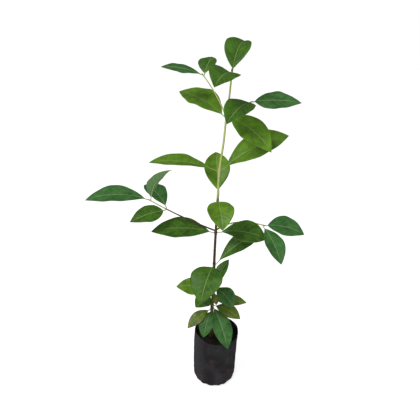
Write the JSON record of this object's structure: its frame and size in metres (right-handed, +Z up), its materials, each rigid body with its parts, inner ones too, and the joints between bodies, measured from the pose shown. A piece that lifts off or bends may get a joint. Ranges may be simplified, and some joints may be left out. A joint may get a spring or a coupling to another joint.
{
  "type": "potted alibertia edulis seedling",
  "caption": "Young fruit tree in a black film nursery bag: one leaning stem with limbs and opposite pairs of broad pointed leaves.",
  "frame": {"origin": "middle of the bag's flat underside, on which it stands", "axes": "+Z up along the stem, +X to the right of the picture, +Y away from its viewer"},
  "size_m": [0.4577, 0.1546, 0.8176],
  "materials": {
    "bag_film": "satin",
    "soil_mix": "matte",
    "old_bark": "matte",
    "young_bark": "matte",
    "leaf_deep": "satin",
    "leaf_bright": "satin",
    "leaf_blue": "satin",
    "leaf_old": "satin"
  },
  "bodies": {
    "root": {"bag": "bag_film", "soil": "soil_mix", "stem": "old_bark", "left_bough": "old_bark", "right_bough": "old_bark", "left_twig": "young_bark", "right_twig": "young_bark", "leaf_top_back": "leaf_deep", "leaf_top_front": "leaf_deep", "leaf_left_twig_end": "leaf_blue", "leaf_left_twig_back": "leaf_deep", "leaf_first_left": "leaf_bright", "leaf_first_right": "leaf_bright", "leaf_right_twig_end": "leaf_blue", "leaf_right_twig_front": "leaf_deep", "leaf_second_right": "leaf_bright", "leaf_second_left": "leaf_bright", "leaf_third_back": "leaf_bright", "leaf_third_front": "leaf_bright", "leaf_fourth_left": "leaf_deep", "leaf_fourth_right": "leaf_deep", "leaf_left_bough_end": "leaf_blue", "leaf_left_bough_up": "leaf_blue", "leaf_left_knot_low": "leaf_deep", "leaf_left_knot_up": "leaf_blue", "leaf_right_bough_end": "leaf_blue", "leaf_right_bough_down": "leaf_blue", "leaf_fifth_right": "leaf_deep", "leaf_fifth_front": "leaf_deep", "leaf_sixth_back": "leaf_deep", "leaf_sixth_right": "leaf_blue", "leaf_sixth_front": "leaf_deep", "leaf_sixth_small": "leaf_old", "leaf_sixth_left": "leaf_bright", "leaf_foot_far_right": "leaf_old", "leaf_foot_right": "leaf_old", "leaf_foot_front": "leaf_blue", "leaf_foot_front_left": "leaf_blue", "leaf_foot_left": "leaf_old"}
  },
  "joints": []
}
